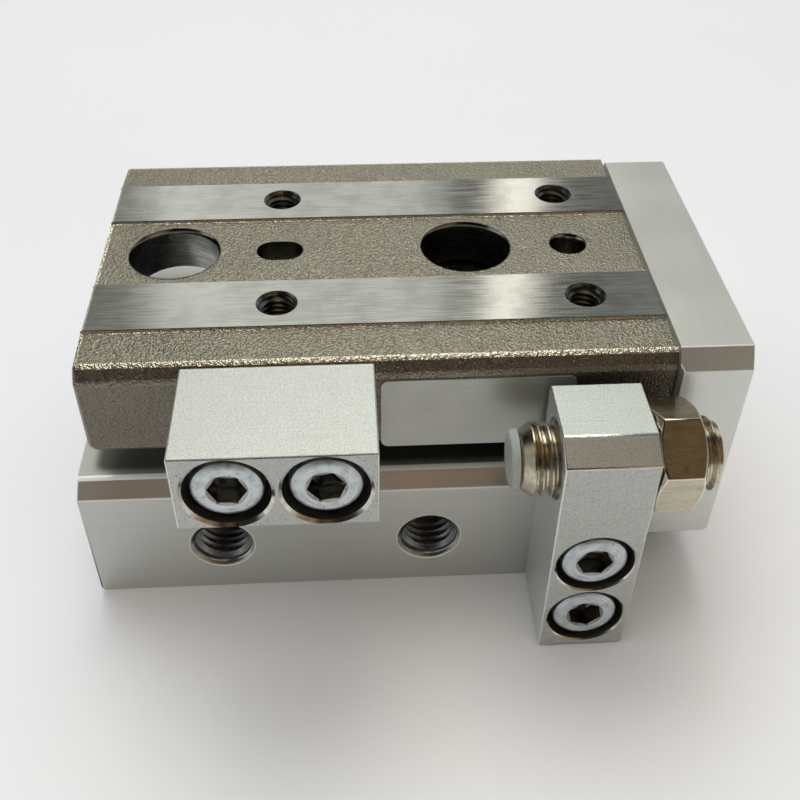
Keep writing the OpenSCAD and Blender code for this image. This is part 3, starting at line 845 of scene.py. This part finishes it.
@dataclass
class EasedPart:
    """A CAD part whose arrises are broken, as a deburred part's are."""

    node: str
    body: str
    slot: str
    dress: Dress
    ease: float = 0.12
    zones: Sequence[Zone] = ()
    keep: Test | None = None  # outer arrises that stay as they are
    wide: Sequence[tuple[Test, float, int]] = ()  # arrises with their own width and facets
    fillet: tuple[Test, float] | None = None  # inner corners and their width
    slide: bool = True
    splits: Sequence[float] = ()  # where flat faces are split across X, through their holes

    def build(self) -> None:
        """Copies the node, breaks its outer arrises and stands in for it."""
        bm = bmesh.new()
        bm.from_mesh(frame["nodes"][self.node].data)
        bmesh.ops.remove_doubles(bm, verts=bm.verts, dist=WELD)
        for place in self.splits:
            whole = [*bm.verts, *bm.edges, *bm.faces]
            cut = bmesh.ops.bisect_plane(
                bm, geom=whole, dist=WELD, plane_co=(place * MM, 0, 0), plane_no=(1, 0, 0)
            )
            for part in cut["geom_cut"]:
                if isinstance(part, bmesh.types.BMEdge):
                    part.seam = True
        bmesh.ops.dissolve_limit(
            bm, angle_limit=FLAT, verts=bm.verts, edges=bm.edges, delimit={"SEAM"}
        )
        bm.faces.layers.float.new("arris")
        if self.fillet is not None:
            self.bevel(bm, self.fillet[0], self.fillet[1], 2, outer=False)
        for wanted, width, segments in self.wide:
            self.bevel(bm, wanted, width, segments)
        self.bevel(bm, lambda p, d: True, self.ease, 2)
        low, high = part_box(self.node)
        for vert in bm.verts:  # a break that runs out at a hole can pass the part's own box
            vert.co = [min(max(v, a), b) for v, a, b in zip(vert.co, low, high)]
        bm.normal_update()
        piece = finished_piece(
            f"{self.node}_eased", bm, self.body, self.dress, self.zones, [self.node]
        )
        smoothing = piece.modifiers.new("weighted_normals", "WEIGHTED_NORMAL")
        smoothing.keep_sharp = True
        smoothing.weight = 100

    def bevel(
        self,
        bm: bmesh.types.BMesh,
        wanted: Test,
        width: float,
        segments: int,
        outer: bool = True,
    ) -> None:
        """Breaks the edges that are still sharp where a test holds, and marks the new faces.

        Args:
            bm: The part's mesh.
            wanted: Tests an edge's middle, in millimetres, and its direction.
            width: The break's width.
            segments: How many facets it has.
            outer: Whether outer arrises are broken, or inner corners.
        """
        arris = bm.faces.layers.float["arris"]
        found = []
        for edge in bm.edges:
            if len(edge.link_faces) != 2 or edge.is_convex != outer:
                continue
            start, end = (vert.co for vert in edge.verts)
            middle, course = (start + end) / 2 / MM, (end - start).normalized()
            flat = edge.calc_face_angle(0.0) < SHARP
            broken = any(face[arris] > 0.5 for face in edge.link_faces)
            kept = outer and self.keep is not None and self.keep(middle, course)
            if not (flat or broken or kept) and wanted(middle, course):
                found.append(edge)
        if found:
            made = bmesh.ops.bevel(
                bm, geom=found, offset=width * MM, offset_type="OFFSET", segments=segments,
                profile=0.5, affect="EDGES", material=-1, clamp_overlap=False,
                loop_slide=self.slide,
            )
            for face in made["faces"]:
                face[arris] = 1.0


# ---------------------------------------------------------------- fasteners


class Row(Enum):
    """How screws stand in their node's box: the way they face and the axis they follow."""

    FRONT_ALONG_X = (Vector((0, -1, 0)), 0)
    FRONT_ALONG_Z = (Vector((0, -1, 0)), 2)
    END_ALONG_Y = (Vector((1, 0, 0)), 1)


@dataclass
class SocketScrews:
    """A pair of socket-head cap screws that stands in for a CAD node."""

    node: str
    body: str
    row: Row
    turned: tuple[float, float]  # how far each is turned, in degrees
    thread: float = 3.0
    head: float = 5.5
    height: float = 3.0
    key: float = 2.6
    mouth: float = 0.08  # the chamfer at the socket's mouth

    def build(self) -> None:
        """Turns both screws, presses their sockets and stands in for the node."""
        facing, way = self.row.value
        low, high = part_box(self.node)
        depth = abs((high - low).dot(facing))
        middle = (low + high) / 2
        face = middle + facing * depth / 2
        shapes, spots = [], []
        for side, turned in zip((-1, 1), self.turned):
            point = face.copy()
            point[way] = middle[way] + side * ((high[way] - low[way]) / 2 - self.head / 2 * MM)
            shape = Shape().turn(self.outline(depth / MM))
            shape.press_hexagon(self.mouth, self.height * 0.56, self.key, math.radians(turned))
            shapes.append(shape.place(point, -facing))
            spots.append(point)
        finished_piece(
            f"{self.node}_turned",
            joined(shapes),
            self.body,
            Dress.ZINC,
            [Zone(Dress.SOCKET, lambda c, n: self.in_socket(c, face / MM, facing, spots))],
            [self.node],
        )

    def in_socket(self, c: Vector, face: Vector, facing: Vector, spots: Sequence[Vector]) -> bool:
        """Says whether a face lies inside one of the hexagon sockets.

        Args:
            c: The face's centre.
            face: A point on the heads' top face.
            facing: The way the heads face.
            spots: The middles of the heads, in metres.

        Returns:
            True inside a socket.
        """
        sunk = (face - c).dot(facing)
        near = min((c - spot / MM).cross(facing).length for spot in spots)
        return 0.03 < sunk < self.height * 0.8 and near < self.key / math.sqrt(3) + 0.07

    def outline(self, length: float) -> Profile:
        """Gives the screw's section, from the socket's floor round to its tip.

        Args:
            length: The screw's whole length.

        Returns:
            Places along the axis, each with its radius.
        """
        corner = self.key / math.sqrt(3)
        floor = self.height * 0.55
        radius, shank = self.head / 2, self.thread / 2
        land = (corner + radius) / 2  # a shallow ring lies round here in the head's face
        return [
            (floor + 0.4, 0.0),
            (floor, corner),
            (self.mouth, corner),
            (0.0, corner + self.mouth),
            (0.0, land - 0.12),
            (0.03, land - 0.04),
            (0.03, land + 0.04),
            (0.0, land + 0.12),
            (0.0, radius - 0.52),  # the head's domed shoulder starts here
            (0.07, radius - 0.3),
            (0.23, radius - 0.09),
            (0.47, radius),
            (self.height - 0.1, radius),
            (self.height, radius - 0.1),
            (self.height, shank),
            (length - 0.3, shank),
            (length, shank - 0.3),
            (length, 0.0),
        ]


@dataclass
class TappedHoles:
    """The thread turns that show in plain-bored tapped holes."""

    name: str
    body: str
    slot: str
    dress: Dress
    mouths: Sequence[Vector]
    inward: Vector
    bore: float
    mouth: float
    depth: float
    pitch: float
    height: float = 0.52  # the ridge's height over the pitch
    rooted: float = 0.02  # how far the ridge's foot lies inside the wall

    def build(self) -> None:
        """Winds a ridge into each hole."""
        wall = self.bore / 2 + self.rooted
        crest = self.bore / 2 - self.height * self.pitch
        turns = self.depth / self.pitch - 1.0
        shapes = []
        for mouth in self.mouths:
            ridge = Shape().wind(
                0.5 * self.pitch, wall, crest, self.pitch, turns, self.countersink
            )
            shapes.append(ridge.place(mouth, self.inward))
        finished_piece(self.name, joined(shapes), self.body, self.dress)

    def countersink(self, along: float, radius: float) -> float:
        """Keeps the ridge outside the countersink's cone; both lengths are in metres."""
        wall = (self.bore / 2 + self.rooted) * MM
        return max(radius, min(self.mouth / 2 * MM - along, wall))


# ---------------------------------------------------------------- sub-assemblies


def near_axis(point: Vector, spots: Sequence[tuple[float, float]], radius: float) -> bool:
    """Says whether a point lies within a radius of one of several upright axes."""
    return any(math.hypot(point.x - x, point.y - y) < radius for x, y in spots)


def mount(name: str) -> dict:
    """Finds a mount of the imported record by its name."""
    return next(m for m in frame["record"]["mounts"] if m["name"] == name)


@dataclass
class Block:
    """A blasted block with two counterbores in its front, whose mouths are countersunk bright."""

    node: str
    body: str
    dress: Dress
    way: int  # the axis that its screws follow
    ease: float
    rim: float
    bore: float = 3.3  # the counterbore's radius

    def build(self) -> None:
        """Eases the block and gives its counterbores their rims and dark walls."""
        front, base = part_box(self.node)[0].y / MM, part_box(self.node)[0].z / MM
        low, high = (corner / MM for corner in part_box(f"{self.node}_screws"))
        half = (high[self.way] - low[self.way]) / 2 - SocketScrews.head / 2
        spots = [(low + high) / 2 for _ in range(2)]
        spots[0][self.way] -= half
        spots[1][self.way] += half

        def near(point: Vector, reach: float) -> bool:
            """Says whether a point lies within a reach of a screw's axis."""
            return any(math.hypot(point.x - s.x, point.z - s.z) < reach for s in spots)

        EasedPart(
            self.node,
            self.body,
            self.node,
            self.dress,
            ease=self.ease,
            zones=[
                Zone(
                    Dress.RIM,
                    lambda c, n: c.y < front + self.rim - 0.01
                    and n.y > -0.95
                    and near(c, self.bore + self.rim + 0.1)
                    and not near(c, self.bore - 0.1),
                ),
                Zone(Dress.SEAT, lambda c, n: c.y > front + 0.1 and near(c, self.bore + 0.1)),
                # front faces take the darker copy of the blasted finish: painted shade
                Zone(Dress.FRONT, lambda c, n: n.y < -0.9),
            ],
            keep=lambda p, d: p.z < base + 0.05,
            splits=sorted({round(s.x, 4) for s in spots}),
            wide=[(lambda p, d: p.y < front + 0.01 and near(p, self.bore + 0.1), self.rim, 1)],
        ).build()


@dataclass
class SlidingTable:
    """The moving table with its end plate, stopper block, screws and label."""

    access: float = 7.8
    tapped: float = 3.0
    mouth: float = 3.54
    tapped_depth: float = 3.8
    pitch: float = 0.5
    pin: float = 2.4  # how far the pin holes reach from their middles
    arris: float = 0.28
    fillet: float = 0.2
    strips: float = 12.5  # the strips and the skin between them end within this
    flank: float = 16.6  # the table's sides lie beyond this

    def hole_places(self) -> tuple[list[tuple[float, float]], list[tuple[float, float]]]:
        """Works out where the table's holes are.

        Returns:
            The tapped holes and the holes on the centre line.
        """
        pattern = mount("table_tapped_holes")
        cx, cy = (v / MM for v in pattern["pos_m"][:2])
        dx, dy = (pattern["dims"][f"spacing_{a}_mm"] / 2 for a in "xy")
        tapped = [(cx + i * dx, cy + j * dy) for i in (-1, 1) for j in (-1, 1)]
        threads = mount("body_mounting_threads")
        mx, reach = threads["pos_m"][0] / MM, threads["dims"]["spacing_x_mm"] / 2
        return tapped, [(mx - reach, 0.0), (mx + reach, 0.0)]

    def build(self) -> None:
        """Builds and dresses everything that rides on the table."""
        tapped, access = self.hole_places()
        self.casting(tapped, access)
        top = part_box("table")[1].z
        TappedHoles(
            "table_thread_turns",
            "table",
            "table",
            Dress.THREAD_STEEL,
            [Vector((x * MM, y * MM, top)) for x, y in tapped],
            Vector((0, 0, -1)),
            self.tapped,
            self.mouth,
            self.tapped_depth,
            self.pitch,
        ).build()
        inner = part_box("end_plate")[0].x / MM
        EasedPart(
            "end_plate",
            "table",
            "end_plate",
            Dress.PLATE,
            ease=0.08,
            keep=lambda p, d: p.x < inner + 0.05,
        ).build()
        Block("stopper_block", "table", Dress.STOPPER, 0, ease=0.12, rim=0.24).build()
        for name, row, turned, *sizes in (
            ("stopper_block_screws", Row.FRONT_ALONG_X, (4.0, -9.0)),
            ("end_plate_screws", Row.END_ALONG_Y, (11.0, -4.0), 2.5, 4.5, 2.5, 2.0),
            ("rod_end_screws", Row.END_ALONG_Y, (7.0, 20.0), 2.0, 3.8, 2.0, 1.5),
        ):
            SocketScrews(name, "table", row, turned, *sizes).build()
        dress_nodes(Dress.FILM, "label")

    def casting(
        self, tapped: Sequence[tuple[float, float]], access: Sequence[tuple[float, float]]
    ) -> None:
        """Eases the table itself, with its ground strips, sides darkened by painted shade, and
        bright holes.

        Args:
            tapped: The middles of the tapped holes.
            access: The middles of the holes that reach the body's screws.
        """
        low, high = (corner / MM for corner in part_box("table"))
        rear, front, top = low.x, high.x, high.z
        pins = [(tapped[0][0], 0.0), (tapped[2][0], 0.0)]
        slack = 0.3

        def in_hole(c: Vector, n: Vector) -> bool:
            """Says whether a face is a hole's wall.

            Args:
                c: The face's centre.
                n: Its normal.

            Returns:
                True in an access, tapped or pin hole.
            """
            return abs(n.z) < 0.9 and c.z > top - 5.0 and (
                near_axis(c, access, self.access / 2 + slack)
                or near_axis(c, tapped, self.tapped / 2 + slack)
                or near_axis(c, pins, self.pin)
            )

        def stays(p: Vector, d: Vector) -> bool:
            """Says whether an arris is left as it is.

            Args:
                p: Its middle.
                d: Its direction.

            Returns:
                True at holes in the top, underneath, at the end plate and at the screws' holes.
            """
            on_top = p.z > top - 0.4 and abs(p.y) < self.strips
            return (
                on_top and rear + 0.1 < p.x < front - 0.1
                or p.z < top - 3.0 and abs(p.y) < 15.0
                or p.x > front - 0.1
                or abs(p.y) > self.flank and abs(d.x) < 0.99 and abs(p.x) < 25.0
            )

        EasedPart(
            "table",
            "table",
            "table",
            Dress.CASTING,
            ease=self.arris,
            zones=[
                Zone(Dress.GROUND, lambda c, n: c.z > top - 0.02 and n.z > 0.9),
                # steep side faces take the darker copy of the casting: painted shade
                Zone(Dress.CASTING_SHADED_SIDE, lambda c, n: abs(n.z) < 0.72 and abs(c.y) > 14.0),
                Zone(Dress.DRILLED, in_hole),
            ],
            keep=stays,
            fillet=(
                lambda p, d: abs(d.x) > 0.99 and p.z > top - 0.5 and abs(p.y) < self.strips,
                self.fillet,
            ),
            slide=False,
        ).build()


@dataclass
class CylinderBody:
    """The fixed body with its ports and mounting holes."""

    port_depth: float = 4.2
    port_mouth: float = 5.7
    pitch: float = 0.8
    ease: float = 0.10
    ledge: float = 0.28  # how wide the ledge's upper arris is broken

    def build(self) -> None:
        """Builds and dresses the body and the thread turns in its ports."""
        ports = [mount("port_rear"), mount("port_front")]
        radius = ports[0]["dims"]["r_mm"]
        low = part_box("body")[0]
        front = low.y / MM
        places = [(p["pos_m"][0] / MM, p["pos_m"][2] / MM) for p in ports]
        EasedPart(
            "body",
            "base",
            "body",
            Dress.BODY,
            ease=self.ease,
            zones=[
                Zone(
                    Dress.BORED,
                    lambda c, n: c.y < front + 5.0
                    and abs(n.y) < 0.9
                    and any(math.hypot(c.x - x, c.z - z) < radius + 0.4 for x, z in places),
                )
            ],
            keep=lambda p, d: abs(p.y) < 15.0 and p.x < 21.0 and p.z > 0.5,
            wide=[(lambda p, d: abs(d.x) > 0.99 and p.z > 12.9 and p.y < -16.0, self.ledge, 3)],
        ).build()
        TappedHoles(
            "port_thread_turns",
            "base",
            "body",
            Dress.THREAD_ALLOY,
            [Vector((x * MM, low.y, z * MM)) for x, z in places],
            Vector((0, 1, 0)),
            radius * 2,
            self.port_mouth,
            self.port_depth,
            self.pitch,
        ).build()


@dataclass
class StrokeAdjuster:
    """The bracket on the body with its bolt, bumper and lock nut."""

    thread: float = 6.0
    pitch: float = 0.75
    root: float = 5.16
    key: float = 2.5
    socket: float = 2.2
    tip_bore: float = 2.7
    tip_depth: float = 3.2
    lead: float = 1.05  # the thread starts this far behind the tip

    def build(self) -> None:
        """Builds and dresses the bracket, its screws, the bolt and the nut."""
        Block("adjuster_block", "base", Dress.ADJUSTER, 2, ease=0.13, rim=0.12).build()
        SocketScrews("adjuster_block_screws", "base", Row.FRONT_ALONG_Z, (17.0, 3.0)).build()
        for name, body, slot, dress, ease in (
            ("lock_nut", "lock_nut", "nickel_plate", Dress.NICKEL_NUT, 0.10),
            ("adjuster_bumper", "adjuster_travel", "urethane", Dress.URETHANE, 0.12),
        ):
            EasedPart(name, body, slot, dress, ease).build()
        self.bolt()

    def bolt(self) -> None:
        """Turns the bolt's core and winds its thread on it."""
        low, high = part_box("adjuster_bolt")
        length = (high.x - low.x) / MM
        radius, core = self.thread / 2, self.root / 2
        corner = self.key / math.sqrt(3)
        floor, mouth = length - self.socket, length - 0.15
        outline = [
            (self.tip_depth, 0.0),
            (self.tip_depth, self.tip_bore / 2),
            (0.0, self.tip_bore / 2),
            (0.0, radius - 0.77),
            (self.lead - 0.12, radius - 0.05),
            (self.lead, radius - 0.05),
            (self.lead + 0.17, core),
            (length - (core - radius + 0.52), core),
            (length, radius - 0.52),
            (length, corner + 0.15),
            (mouth, corner),
            (floor, corner),
            (floor - 0.4, 0.0),
        ]
        shaft = Shape().turn(outline).press_hexagon(floor, mouth, self.key, 0.2)

        def chamfer(along: float, out: float) -> float:
            """Keeps the ridge inside the chamfers at both ends.

            Args:
                along: The place along the bolt, in metres.
                out: The ridge's radius there, in metres.

            Returns:
                The radius allowed, in metres.
            """
            near = (core - 0.1) * MM + (along - self.lead * MM) * 2.0
            far = (radius - 0.5) * MM + (length * MM - along)
            return max(min(out, near, far), (core - 0.06) * MM)

        start = self.lead + 0.3 * self.pitch
        turns = (length - self.lead) / self.pitch - 0.8
        ridge = Shape().wind(start, core - 0.05, radius, self.pitch, turns, chamfer)
        point = Vector((low.x, (low.y + high.y) / 2, (low.z + high.z) / 2))
        finished_piece(
            "adjuster_bolt_threaded",
            joined([shaft.place(point, X_AXIS), ridge.place(point, X_AXIS)]),
            "adjuster_screw",
            Dress.NICKEL_BOLT,
            stands_for=["adjuster_bolt"],
        )


@dataclass
class InnerParts:
    """The ball guide, rods, pistons, glands and seals, which keep their CAD shapes."""

    finishes: Sequence[tuple[Dress, str]] = (
        (Dress.GUIDE, "guide_block"),
        (Dress.ZINC, "guide_block_screws return_cap_screws"),
        (Dress.RESIN, "return_cap_rear return_cap_front"),
        (Dress.RUBBER, "wiper_rear wiper_front gland_o_rings rod_seals"),
        (Dress.RUBBER, "cushion_rings retract_bumper piston_seals"),
        (Dress.BALLS, "balls_near balls_far"),
        (Dress.GLAND, "rod_gland_near rod_gland_far"),
        (Dress.SPRING, "gland_retaining_rings rod_end_washers"),
        (Dress.ROD, "piston_rod_near piston_rod_far"),
        (Dress.PISTON, "piston_near piston_far"),
        (Dress.MAGNET, "piston_magnets"),
    )

    def build(self) -> None:
        """Dresses every inner node in its finish."""
        for dress, names in self.finishes:
            dress_nodes(dress, names)


# ---------------------------------------------------------------- studio


@dataclass(frozen=True)
class Patch:
    """A soft patch of light in the room, which adds to what lies behind it.

    Its rim and its core are the cosines of the angles from its aim where it starts and
    where it is full. A patch with a width is an upright strip, cut off at that many
    degrees on either side.
    """

    aim: Size
    rim: float
    core: float
    tint: str
    strength: float
    width: float = 0.0
    fade: float = 1.0

    def share(self, tree: bpy.types.NodeTree, way: Socket) -> Socket:
        """Works out how much of the patch shows in a direction.

        Args:
            tree: The room's node tree.
            way: The direction that is looked in.

        Returns:
            Its strength there.
        """
        shown = self.towards(tree, way, Vector(self.aim), (self.rim, self.core), self.strength)
        if self.width:
            aside = Vector((self.aim[1], -self.aim[0], 0.0))
            rim, core = (-math.sin(math.radians(self.width + f * self.fade)) for f in (1, -1))
            for side in (aside, -aside):
                cut = self.towards(tree, way, side, (rim, core), 1.0)
                shown = node(
                    tree, "Math", {0: shown, 1: cut}, operation="MULTIPLY"
                ).outputs[0]
        return shown

    @staticmethod
    def towards(
        tree: bpy.types.NodeTree, way: Socket, aim: Vector, reach: Reach, most: float
    ) -> Socket:
        """Lets light fade in towards an aim.

        Args:
            tree: The room's node tree.
            way: The direction that is looked in.
            aim: The way that it is aimed.
            reach: The cosines at its rim and where it is full.
            most: Its full strength.

        Returns:
            How much of it shows.
        """
        ends = {0: way, 1: tuple(aim.normalized())}
        dot = node(tree, "VectorMath", ends, operation="DOT_PRODUCT")
        return ramp(tree, dot.outputs["Value"], reach, (0.0, most))


@dataclass(frozen=True)
class Lamp:
    """A broad soft lamp far off: where it stands, its spread in degrees, colour and energy."""

    name: str
    aim: Size
    spread: float
    tint: str
    energy: float


PATCHES = (
    Patch((0.0, 0.0, -1.0), -0.28, -0.05, "#f6f4f0", 0.36),
    Patch((0.62, 0.62, 0.48), 0.80, 0.98, "#fdfffb", 0.31),
    Patch((0.30, 0.56, 0.77), 0.97, 0.99, "#fffdf4", 0.30),
    Patch((-0.354, 0.76, 0.545), 0.955, 0.985, "#fffdf4", 0.26),
    Patch((-0.95, -0.05, 0.28), 0.88, 0.98, "#fffaf0", 0.55),
    Patch((0.66, -0.6, 0.45), 0.80, 0.98, "#ffdaa4", 0.27),
    Patch((0.0, -0.3, 0.95), 0.93, 0.99, "#ffcfa7", 0.52),
    Patch((0.0, 0.42, 0.91), 0.93, 0.99, "#fffdec", 3.22),
    Patch((0.156, 0.823, 0.545), 0.93, 0.97, "#fffaf0", 1.8, 1.3, 0.5),
    Patch((-0.044, 0.837, 0.545), 0.93, 0.97, "#fffffa", 0.80, 8.0, 1.5),
)
LAMPS = (
    Lamp("overhead", (0.0, 0.0, 1.0), 90.0, "#f3f9ff", 1.28),
    Lamp("left_fill", (-0.65, -0.1, 0.75), 60.0, "#f8fff8", 0.39),
    Lamp("back_fill", (-0.3, 0.7, 0.65), 60.0, "#cfdeff", 0.89),
)


@dataclass
class Studio:
    """A pale floor, soft light all round and the camera."""

    eye: Size = (-4.386, -79.531, 76.834)
    ahead: Size = (0.046836, 0.748560, -0.661410)
    up: Size = (0.031274, 0.660714, 0.749986)
    lens: float = 46.64
    floor_size: float = 3000.0
    floor_gap: float = 0.05  # how far the floor lies under the part
    patches: Sequence[Patch] = PATCHES
    lamps: Sequence[Lamp] = LAMPS

    def build(self) -> None:
        """Makes the floor, the surroundings, the lights and the camera."""
        self.floor()
        self.surroundings()
        self.hang_lamps()
        self.camera()
        bpy.context.scene.view_settings.view_transform = "Standard"

    def floor(self) -> None:
        """Lays the plain pale floor, in matt white paint, under the part."""
        bm = bmesh.new()
        bmesh.ops.create_grid(bm, x_segments=8, y_segments=8, size=self.floor_size / 2 * MM)
        bmesh.ops.translate(bm, verts=bm.verts, vec=(0, 0, -self.floor_gap * MM))
        mesh = bpy.data.meshes.new("floor")
        bm.to_mesh(mesh)
        bm.free()
        paint = Surface("matt_white_floor")
        tones = {0: paint.grain(40.0, detail=2.0), 6: linear("#edebea"), 7: linear("#f2f0ee")}
        tone = node(paint.tree, "Mix", tones, data_type="RGBA")
        paint.tree.links.new(tone.outputs[2], paint.shader.inputs["Base Color"])
        paint.even(roughness=0.55)
        mesh.materials.append(paint.material)
        piece = bpy.data.objects.new("floor", mesh)
        bpy.context.scene.collection.objects.link(piece)
        LOG.info("floor laid")

    def surroundings(self) -> None:
        """Lights the soft room with its patches, which add up."""
        world = bpy.data.worlds.new("soft_room")
        bpy.context.scene.world = world
        world.use_nodes = True
        tree = world.node_tree
        way = node(tree, "TexCoord").outputs["Generated"]
        light: Socket | Size = (0.0, 0.0, 0.0)
        for patch in self.patches:
            terms = {0: linear(patch.tint)[:3], 1: patch.share(tree, way), 2: light}
            light = node(tree, "VectorMath", terms, operation="MULTIPLY_ADD").outputs[0]
        tree.links.new(light, tree.nodes["Background"].inputs["Color"])
        LOG.info("room lit by %d patches", len(self.patches))

    def hang_lamps(self) -> None:
        """Hangs the broad lamps, which brighten the floor and show in no polished face."""
        for lamp in self.lamps:
            data = bpy.data.lights.new(lamp.name, "SUN")
            data.angle = math.radians(lamp.spread)
            data.energy = lamp.energy
            data.color = linear(lamp.tint)[:3]
            held = bpy.data.objects.new(lamp.name, data)
            held.rotation_mode = "QUATERNION"
            held.rotation_quaternion = Vector(lamp.aim).to_track_quat("Z", "Y")
            held.visible_glossy = False
            bpy.context.scene.collection.objects.link(held)
            LOG.info("%s lamp hung", lamp.name)

    def camera(self) -> None:
        """Sets the camera up."""
        data = bpy.data.cameras.new("camera")
        data.sensor_width = 36.0
        data.lens = self.lens
        data.clip_start = 0.005
        data.clip_end = 10.0
        held = bpy.data.objects.new("camera", data)
        ahead, up = Vector(self.ahead).normalized(), Vector(self.up).normalized()
        turn = Matrix((ahead.cross(up), up, -ahead)).transposed().to_4x4()
        held.matrix_world = Matrix.Translation(Vector(self.eye) * MM) @ turn
        bpy.context.scene.collection.objects.link(held)
        bpy.context.scene.camera = held
        LOG.info("camera set")


# ---------------------------------------------------------------- making


def main() -> None:
    """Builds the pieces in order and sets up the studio."""
    logging.basicConfig(level=logging.INFO, format="%(name)s: %(message)s")
    Studio().build()
    CylinderBody().build()
    InnerParts().build()
    SlidingTable().build()
    StrokeAdjuster().build()


if __name__ == "__main__":
    main()
